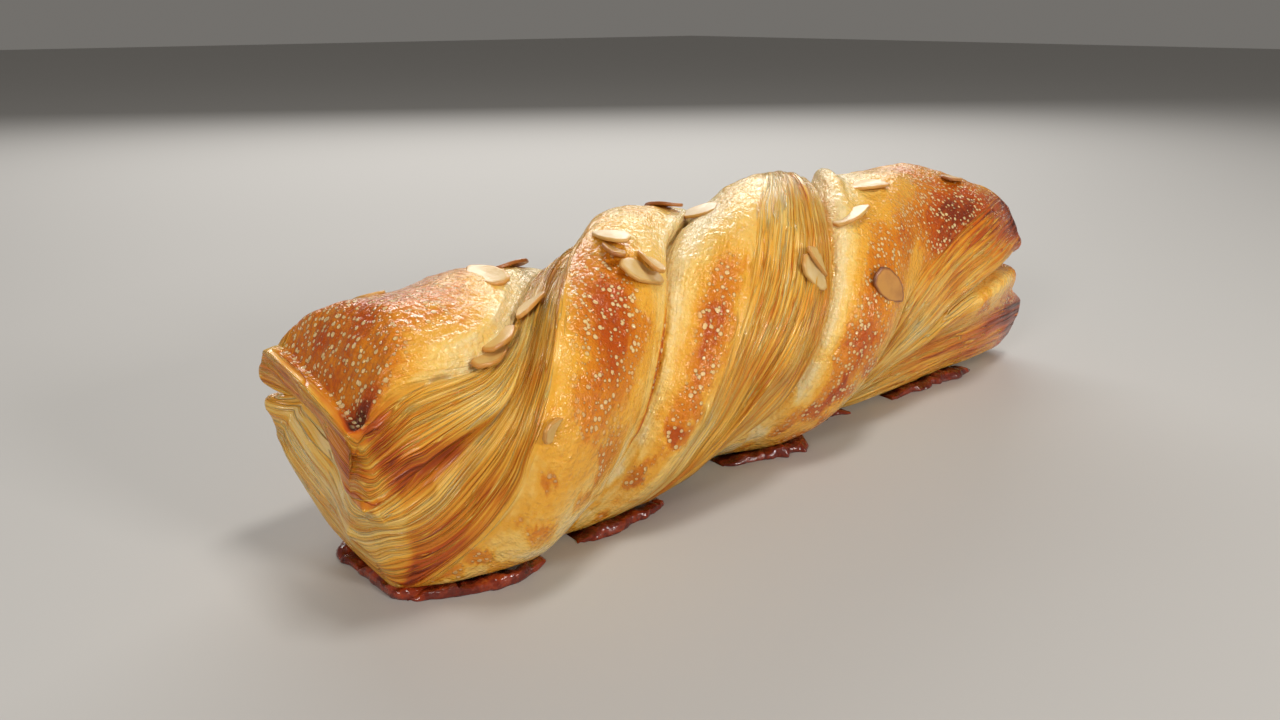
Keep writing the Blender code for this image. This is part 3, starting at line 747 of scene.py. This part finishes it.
# Streaks on the glazed faces, where the dough was drawn out by the twisting.
STREAK_SCALES = (90.0, 60.0)
streak_inputs = [
    ("X", value_of(tree, "streak")),
    ("Y", sums(tree, "MULTIPLY", spot_parts["X"], STREAK_SCALES[0])),
    ("Z", sums(tree, "MULTIPLY", spot_parts["Z"], STREAK_SCALES[1])),
]
streak_place = put(tree, "ShaderNodeCombineXYZ", streak_inputs).outputs[0]
streaks = grain(tree, streak_place, 1.0, 3.0, 0.6, stretch=(0.7, 1.0, 1.0))
mottle = grain(tree, spot, 130.0, 3.0, 0.55)
speckle = grain(tree, spot, 760.0, 2.0, 0.6)

# On the cut edges the tone follows the relief: the layers' own colour, with the raised strands paler as a
# painted highlight and the grooves between the layers browner as painted shade.
layer_tone_and_painted_shade = total(
    tree,
    centred(tree, ribs, -0.18),
    centred(tree, fine_layers, 0.26),
    centred(tree, broad_layers, 0.16),
    product(tree, dark_strands, 0.16),
    product(tree, raised_strands_and_painted_glints, -0.24),
)
# On the glazed faces the streaks and speckle are browner where the surface dips: painted shade in the
# hollows, over the glaze's own uneven colour.
glaze_tone_and_painted_shade = total(tree, centred(tree, streaks, 0.24), centred(tree, speckle, 0.20))
tone = total(
    tree,
    browning_and_painted_light_value,
    centred(tree, mottle, 0.24),
    product(tree, layer_tone_and_painted_shade, cut_value),
    product(tree, glaze_tone_and_painted_shade, glazed_value),
)
crust_colour = colours(
    tree,
    tone,
    (
        (0.00, (234, 208, 148)),
        (0.17, (238, 194, 102)),
        (0.34, (230, 166, 56)),
        (0.50, (212, 126, 28)),
        (0.68, (182, 78, 14)),
        (0.85, (124, 42, 12)),
        (1.00, (58, 18, 10)),
    ),
)

# Little blisters that stayed pale where the browned glaze stretched over air, about a millimetre apart.
cells = put(tree, "ShaderNodeTexVoronoi", [("Vector", spot), ("Scale", 980.0), ("Randomness", 0.9)])
cell_kind = put(tree, "ShaderNodeSeparateColor", [("Color", cells.outputs["Color"])]).outputs[0]
dot_radius = between(tree, cell_kind, 0.0, 1.0, 0.22, 0.50)
dot_edge = sums(tree, "SUBTRACT", dot_radius, cells.outputs["Distance"])
dot_edge = total(tree, dot_edge, centred(tree, speckle, 0.5))
dot = between(tree, dot_edge, 0.0, 0.12)
dot_here = between(tree, browning_and_painted_light_value, 0.34, 0.52)
dot_patch = between(tree, grain(tree, spot, 75.0), 0.14, 0.28)
dot_share = product(tree, dot, dot_here, glazed_value, dot_patch, between(tree, browning_and_painted_light_value, 1.0, 0.85))
dot_inputs = [(0, product(tree, dot_share, 0.78)), (6, crust_colour), (7, srgb(240, 214, 154))]
dotted_crust = put(tree, "ShaderNodeMix", dot_inputs, data_type="RGBA").outputs[2]
tree.links.new(dotted_crust, shader.inputs["Base Color"])

gloss = sums(tree, "MULTIPLY_ADD", cut_value, 0.10, between(tree, mottle, 0.35, 0.7, 0.16, 0.30))
tree.links.new(gloss, shader.inputs["Roughness"])
shader.inputs["Coat Weight"].default_value = 0.25
shader.inputs["Coat Roughness"].default_value = 0.1
shader.inputs["Specular IOR Level"].default_value = 0.36
shader.inputs["Specular Tint"].default_value = (1.0, 0.84, 0.64, 1.0)
shader.inputs["Subsurface Weight"].default_value = 0.2
shader.inputs["Subsurface Radius"].default_value = (0.004, 0.0018, 0.0008)
shader.inputs["Subsurface Scale"].default_value = 1.0

cut_rise = total(
    tree,
    product(tree, ribs, 0.22),
    product(tree, fine_layers, -0.26),
    product(tree, broad_layers, -0.2),
    product(tree, raised_strands_and_painted_glints, 0.50),
    product(tree, dark_strands, -0.16),
)
glazed_rise = total(
    tree,
    product(tree, streaks, -0.5),
    product(tree, speckle, -0.6),
    product(tree, dot_share, 0.45),
)
rise = total(tree, product(tree, cut_rise, cut_value), product(tree, glazed_rise, glazed_value))
crust_normal = raise_grain(tree, shader, rise, 1.0, 0.0010)
tree.links.new(crust_normal, shader.inputs["Coat Normal"])
twist.data.materials.append(crust)

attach(twist, "root")
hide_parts("pastry_twist")


# ---- Flaked almonds ------------------------------------------------------------------------------------
# Thin slices of blanched almond, strewn on the wet glaze before baking. They are ivory with a toasted rim,
# a little curled, and lie on the crests, lean in the creases, or stand where a fold holds them.
FLAKE_LENGTH = 10.5
FLAKE_WIDTH = 5.2
FLAKE_THICKNESS = 0.7
FLAKE_TAPER = 0.28
FLAKE_DROOP = 0.012
FLAKE_CURL = (-0.02, 0.03)
RIM_WAVES = ((5, 0.03), (11, 0.02))
# Place along the length, turn, heading, lean, roll, size, height of its middle, and how toasted it is.
FLAKES = (
    (-60, 101, 91, 9, -8, 1.05, 0.4, 0.3),
    (-50, 118, 211, -2, 5, 0.95, 0.5, 0.7),
    (-59, 72, 216, 8, 26, 0.95, 0.4, 0.3),
    (-69, 59, 27, -6, -55, 0.90, 0.5, 0.45),
    (-72, 53, 18, -10, -50, 0.85, 0.5, 0.5),
    (-40, 80, 87, -15, 2, 0.95, 0.4, 0.1),
    (-40, 59, 341, -18, -5, 1.00, 0.4, 0.2),
    (-37, 63, 66, -24, 18, 0.95, 0.5, 0.4),
    (-15, 109, 86, 3, 9, 1.05, 0.5, 0.7),
    (-11, 95, 91, 1, -9, 1.05, 0.4, 0.15),
    (-4, 33, 314, -14, 3, 0.95, 0.4, 0.2),
    (-2, 38, 153, 24, 10, 0.95, 0.5, 0.35),
    (19, 56, 7, 10, -40, 1.05, 0.4, 0.2),
    (35, 70, 162, -9, 12, 1.00, 0.4, 0.3),
    (69, 71, 15, -9, -11, 0.95, 0.4, 0.6),
    (19, 19, 320, -4, 15, 1.10, 0.4, 0.85),
    (-69, 19, 356, -30, 25, 0.75, -0.1, 0.35),
    (-42, 73, 58, -20, 15, 0.80, 0.3, 0.6),
    (-34, 140, 60, 5, 0, 1.00, 0.4, 0.2),
    (-8, 132, 20, 8, 0, 0.95, 0.4, 0.4),
    (14, 146, 75, -6, 0, 1.05, 0.4, 0.1),
    (46, 122, 30, 6, 0, 0.95, 0.4, 0.3),
    (60, 148, 110, 0, 0, 0.90, 0.4, 0.5),
    (-78, 122, 80, 5, 0, 1.00, 0.4, 0.2),
)
RIM_POINTS = 36
# From the middle of one side over the rounded rim to the middle of the other: share of the outline, height.
FLAKE_SECTION = (
    (0.0, 0.30),
    (0.45, 0.36),
    (0.78, 0.44),
    (0.90, 0.50),
    (0.975, 0.46),
    (1.0, 0.25),
    (1.0, -0.25),
    (0.975, -0.46),
    (0.90, -0.50),
    (0.78, -0.44),
    (0.45, -0.36),
    (0.0, -0.30),
)

SEAT_POINTS = 360
SEAT_SPREAD = 9
SEAT_STEP = 4.0


def seat(x, turn):
    """The surface point at a place along the length and a turn about it, with its outward direction."""
    before, here, after = sections([x - SEAT_STEP, x, x + SEAT_STEP], SEAT_POINTS)[0]
    offset = here - (x, along(x, CENTRE_Y), along(x, CENTRE_Z))
    angle = np.degrees(np.arctan2(offset[:, 2], -offset[:, 1]))
    i = int(np.abs((angle - turn + 180) % 360 - 180).argmin())
    around = here[(i + SEAT_SPREAD) % SEAT_POINTS] - here[i - SEAT_SPREAD]
    out = np.cross(around, after[i] - before[i])
    out = out / np.linalg.norm(out) + offset[i] / np.linalg.norm(offset[i])
    return here[i], out / np.linalg.norm(out)


def flake_axes(out, heading, lean, roll):
    """A flake's own directions: ahead, sideways and up."""
    length = np.array([1.0, 0.0, 0.0]) - out * out[0]
    length /= np.linalg.norm(length)
    side = np.cross(out, length)
    h, tilt, bank = (math.radians(v) for v in (heading, lean, roll))
    ahead = (length * math.cos(h) + side * math.sin(h)) * math.cos(tilt) + out * math.sin(tilt)
    level_side = np.cross(out, ahead)
    level_side /= np.linalg.norm(level_side)
    level_up = np.cross(ahead, level_side)
    sideways = level_side * math.cos(bank) + level_up * math.sin(bank)
    return ahead, sideways, np.cross(ahead, sideways)


flake_points, flake_faces, flake_rim, flake_toast = [], [], [], []
for x, turn, heading, lean, roll, size, lift, toast in FLAKES:
    middle, out = seat(x, turn)
    ahead, sideways, up = flake_axes(out, heading, lean, roll)
    first = len(flake_points)
    notch = rng.uniform(0, 2 * math.pi)
    curl = rng.uniform(*FLAKE_CURL)
    for share, level in FLAKE_SECTION:
        for i in range(RIM_POINTS):
            t = 2 * math.pi * i / RIM_POINTS
            ragged = 1.0
            for number, (waves, amount) in enumerate(RIM_WAVES):
                ragged += amount * math.sin(waves * t + (number + 1) * notch)
            a = 0.5 * FLAKE_LENGTH * size * share * math.cos(t) * ragged
            b = 0.5 * FLAKE_WIDTH * size * share * math.sin(t) * (1 - FLAKE_TAPER * math.cos(t)) * ragged
            height = level * FLAKE_THICKNESS - FLAKE_DROOP * a * a + curl * b * b
            flake_points.append(middle + out * lift + ahead * a + sideways * b + up * height)
            flake_rim.append(share)
            flake_toast.append(toast)
    for ring in range(len(FLAKE_SECTION) - 1):
        for i in range(RIM_POINTS):
            j = (i + 1) % RIM_POINTS
            a, b = first + ring * RIM_POINTS, first + (ring + 1) * RIM_POINTS
            flake_faces.append((a + i, a + j, b + j, b + i))

flakes = new_piece("flaked_almonds", flake_points, flake_faces)
give_values(flakes, "rim", flake_rim)
give_values(flakes, "toast", flake_toast)

almond, tree, shader = new_finish("toasted_almond")
spot = put(tree, "ShaderNodeTexCoord").outputs["Object"]
fibre = grain(tree, spot, 900.0, 3.0, 0.6)
patch = grain(tree, spot, 260.0)
almond_tone = total(
    tree,
    between(tree, value_of(tree, "rim"), 0.8, 0.98, 0.0, 0.32),
    product(tree, value_of(tree, "toast"), 0.75),
    centred(tree, patch, 0.5),
)
almond_colour = colours(
    tree,
    almond_tone,
    (
        (0.0, (226, 198, 146)),
        (0.3, (214, 174, 102)),
        (0.6, (200, 140, 62)),
        (0.85, (160, 96, 40)),
        (1.0, (110, 58, 22)),
    ),
)
tree.links.new(almond_colour, shader.inputs["Base Color"])
shader.inputs["Roughness"].default_value = 0.42
shader.inputs["Coat Weight"].default_value = 0.25
shader.inputs["Coat Roughness"].default_value = 0.2
shader.inputs["Subsurface Weight"].default_value = 0.1
shader.inputs["Subsurface Radius"].default_value = (0.003, 0.002, 0.001)
shader.inputs["Subsurface Scale"].default_value = 1.0
raise_grain(tree, shader, fibre, 0.5, 0.0002)
flakes.data.materials.append(almond)

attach(flakes, "root")
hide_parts("pastry_twist")


# ---- Caramelised syrup ---------------------------------------------------------------------------------
# Sugar and butter that ran out on the tray and set as dark, glossy, brittle crusts with ragged edges, which
# stick out from under the twist here and there.
SYRUP_REACH = 2.6
SYRUP_HEIGHT = 2.0
SYRUP_UNDER = 4.0
SYRUP_STEP = 0.35
SYRUP_THINNEST = 0.02
FOOT_HEIGHT = 3.6
FOOT_STEP = 1.5
# The runs of syrup: side of the foot, start and end along it (Y on the left, X elsewhere), and width share.
SYRUP_RUNS = (
    ("left", 20, 4, 0.5),
    ("left", 5, -10, 0.5),
    ("front", -88, -64, 0.5),
    ("front", -56, -34, 0.8),
    ("front", -14, 30, 1.1),
    ("front", 44, 78, 0.8),
    ("back", -70, -38, 1.0),
    ("back", 2, 30, 1.0),
    ("back", 52, 70, 0.8),
)
# A run's section, from its outer edge over the top to under the twist: shares of its reach and its height.
SYRUP_SECTION = (
    (1.0, 0.0),
    (1.06, 0.25),
    (0.9, 0.6),
    (0.6, 1.0),
    (0.2, 1.15),
    (-0.3, 1.1),
    (-1.0, 0.6),
    (-1.0, 0.0),
)


def foot_line(side):
    """Where the twist meets the tray on one side: places along it, and where its foot lies there."""
    foot_skin = skin[skin[..., 2] < FOOT_HEIGHT]
    length_axis, out_axis = (1, 0) if side == "left" else (0, 1)
    sign = 1.0 if side == "back" else -1.0
    places, outs = foot_skin[:, length_axis], foot_skin[:, out_axis]
    starts = np.arange(places.min(), places.max(), FOOT_STEP)
    foot = []
    for start in starts:
        here = outs[(places >= start) & (places < start + FOOT_STEP)]
        foot.append(sign * (sign * here).max() if len(here) else np.nan)
    foot = np.array(foot)
    known = ~np.isnan(foot)
    foot = np.interp(starts, starts[known], foot[known])
    soft = np.convolve(np.pad(foot, 2, mode="edge"), np.ones(5) / 5, mode="valid")
    return starts + FOOT_STEP / 2, soft


syrup_points, syrup_faces = [], []
for number, (side, start, end, share) in enumerate(SYRUP_RUNS):
    count = int(abs(end - start) / SYRUP_STEP)
    t = np.linspace(0, 1, count)
    places = start + (end - start) * t
    foot = np.interp(places, *foot_line(side))
    lump_place = np.stack([places, np.full(count, 40.0 * number), np.zeros(count)], axis=-1)
    taper = np.clip(np.sin(math.pi * t), 0, 1) ** 0.45
    ragged = 0.75 + 0.55 * lumps(lump_place, 5.0, 2.9) + 0.35 * lumps(lump_place, 1.7, 6.1)
    widths = SYRUP_REACH * share * taper * np.clip(ragged, 0.15, 1.8)
    heights = SYRUP_HEIGHT * taper * np.clip(0.8 + 0.4 * lumps(lump_place, 3.0, 8.3), 0.3, 1.4)
    outward = 1.0 if side == "back" else -1.0
    under = 2 * SYRUP_UNDER if side == "left" else SYRUP_UNDER
    first = len(syrup_points)
    for place, contact, width, height in zip(places, foot, widths, heights):
        for out_share, up_share in SYRUP_SECTION:
            out = contact + outward * (width if out_share > 0 else under) * out_share
            bubble = 1 + 0.35 * lumps((place, out_share * 3, number * 9.0), 1.1)
            wobble = place + 0.5 * lumps((place, out_share * 4, 3.0), 1.4)
            level = max(height * up_share * bubble, SYRUP_THINNEST)
            syrup_points.append((out, wobble, level) if side == "left" else (wobble, out, level))
    size = len(SYRUP_SECTION)
    turned = (side == "front") == (end > start)
    for i in range(count - 1):
        for j in range(size):
            a, b = first + i * size + j, first + i * size + (j + 1) % size
            quad = (a, b, b + size, a + size)
            syrup_faces.append(quad if turned else quad[::-1])
    for ring, flip in ((first, False), (first + (count - 1) * size, True)):
        cap_face = tuple(range(ring, ring + size))
        syrup_faces.append(cap_face[::-1] if flip == turned else cap_face)

syrup = new_piece("caramelised_syrup", syrup_points, syrup_faces)

caramel, tree, shader = new_finish("dark_caramel")
spot = put(tree, "ShaderNodeTexCoord").outputs["Object"]
patch = grain(tree, spot, 300.0, 3.0, 0.6)
froth = grain(tree, spot, 900.0, 2.0, 0.5)
caramel_tone = total(tree, centred(tree, patch, 1.2), centred(tree, froth, 0.5), 0.42)
caramel_colour = colours(
    tree,
    caramel_tone,
    (
        (0.0, (58, 14, 8)),
        (0.35, (104, 30, 14)),
        (0.62, (146, 52, 22)),
        (0.85, (186, 92, 36)),
        (1.0, (214, 140, 70)),
    ),
)
tree.links.new(caramel_colour, shader.inputs["Base Color"])
shader.inputs["Roughness"].default_value = 0.16
shader.inputs["Coat Weight"].default_value = 0.5
shader.inputs["Coat Roughness"].default_value = 0.06
raise_grain(tree, shader, total(tree, patch, product(tree, froth, 0.5)), 0.8, 0.0008)
syrup.data.materials.append(caramel)

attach(syrup, "root")
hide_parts("pastry_twist")


# ---- Floor, light and camera ---------------------------------------------------------------------------
# A plain pale table under soft studio lamps, seen from the front left and a little above.
TABLE_HALF = 3.0
floor_mesh = bpy.data.meshes.new("table_top")
floor_corners = [(x * TABLE_HALF, y * TABLE_HALF, 0) for x, y in ((-1, -1), (1, -1), (1, 1), (-1, 1))]
floor_mesh.from_pydata(floor_corners, [], [(0, 1, 2, 3)])
floor = bpy.data.objects.new("table_top", floor_mesh)
bpy.context.scene.collection.objects.link(floor)
paint, tree, shader = new_finish("pale_table")
shader.inputs["Base Color"].default_value = (0.50, 0.49, 0.475, 1.0)
shader.inputs["Roughness"].default_value = 0.7
floor_mesh.materials.append(paint)

LAMPS_AIM = (0.0, 0.0, 0.03)


def lamp(name, place, size, power, colour):
    """A flat soft lamp turned to the twist; size is its width and height in metres."""
    light = bpy.data.lights.new(name, "AREA")
    light.shape = "RECTANGLE"
    light.size, light.size_y = size
    light.energy = power
    light.color = colour
    thing = bpy.data.objects.new(name, light)
    thing.location = place
    thing.rotation_euler = (Vector(place) - Vector(LAMPS_AIM)).to_track_quat("Z", "Y").to_euler()
    bpy.context.scene.collection.objects.link(thing)


lamp("back_lamp", (0.34, 0.52, 0.36), (0.9, 0.12), 3.3, (1.0, 0.98, 0.95))
lamp("high_lamp", (0.05, -0.12, 0.62), (0.16, 0.10), 1.4, (1.0, 0.97, 0.92))
lamp("side_lamp", (-0.62, -0.20, 0.36), (0.16, 0.16), 1.65, (1.0, 0.97, 0.93))
lamp("front_lamp", (0.10, -0.66, 0.27), (0.14, 0.10), 2.35, (1.0, 0.97, 0.93))
world = bpy.data.worlds.new("studio")
world.use_nodes = True
world.node_tree.nodes["Background"].inputs["Color"].default_value = (1.0, 0.95, 0.88, 1.0)
world.node_tree.nodes["Background"].inputs["Strength"].default_value = 0.17
bpy.context.scene.world = world

SENSOR_WIDTH = 36.0
FOCAL_LENGTH_IN_PIXELS = 900
PICTURE_WIDTH_IN_PIXELS = 1280
CAMERA_TURN = math.radians(42)
CAMERA_RISE = math.radians(21)
CAMERA_DISTANCE = 0.185
CAMERA_AIM = (-28.0, 0.0, 25.0)
camera_data = bpy.data.cameras.new("camera")
camera_data.sensor_width = SENSOR_WIDTH
camera_data.lens = SENSOR_WIDTH * FOCAL_LENGTH_IN_PIXELS / PICTURE_WIDTH_IN_PIXELS
camera_data.clip_start = 0.01
to_camera = np.array(
    [
        -math.sin(CAMERA_TURN) * math.cos(CAMERA_RISE),
        -math.cos(CAMERA_TURN) * math.cos(CAMERA_RISE),
        math.sin(CAMERA_RISE),
    ]
)
camera = bpy.data.objects.new("camera", camera_data)
camera.location = (np.array(CAMERA_AIM) + TWIST_PLACE) * MM + to_camera * CAMERA_DISTANCE
camera.rotation_euler = Vector(to_camera.tolist()).to_track_quat("Z", "Y").to_euler()
bpy.context.scene.collection.objects.link(camera)
bpy.context.scene.camera = camera
bpy.context.scene.view_settings.view_transform = "Standard"
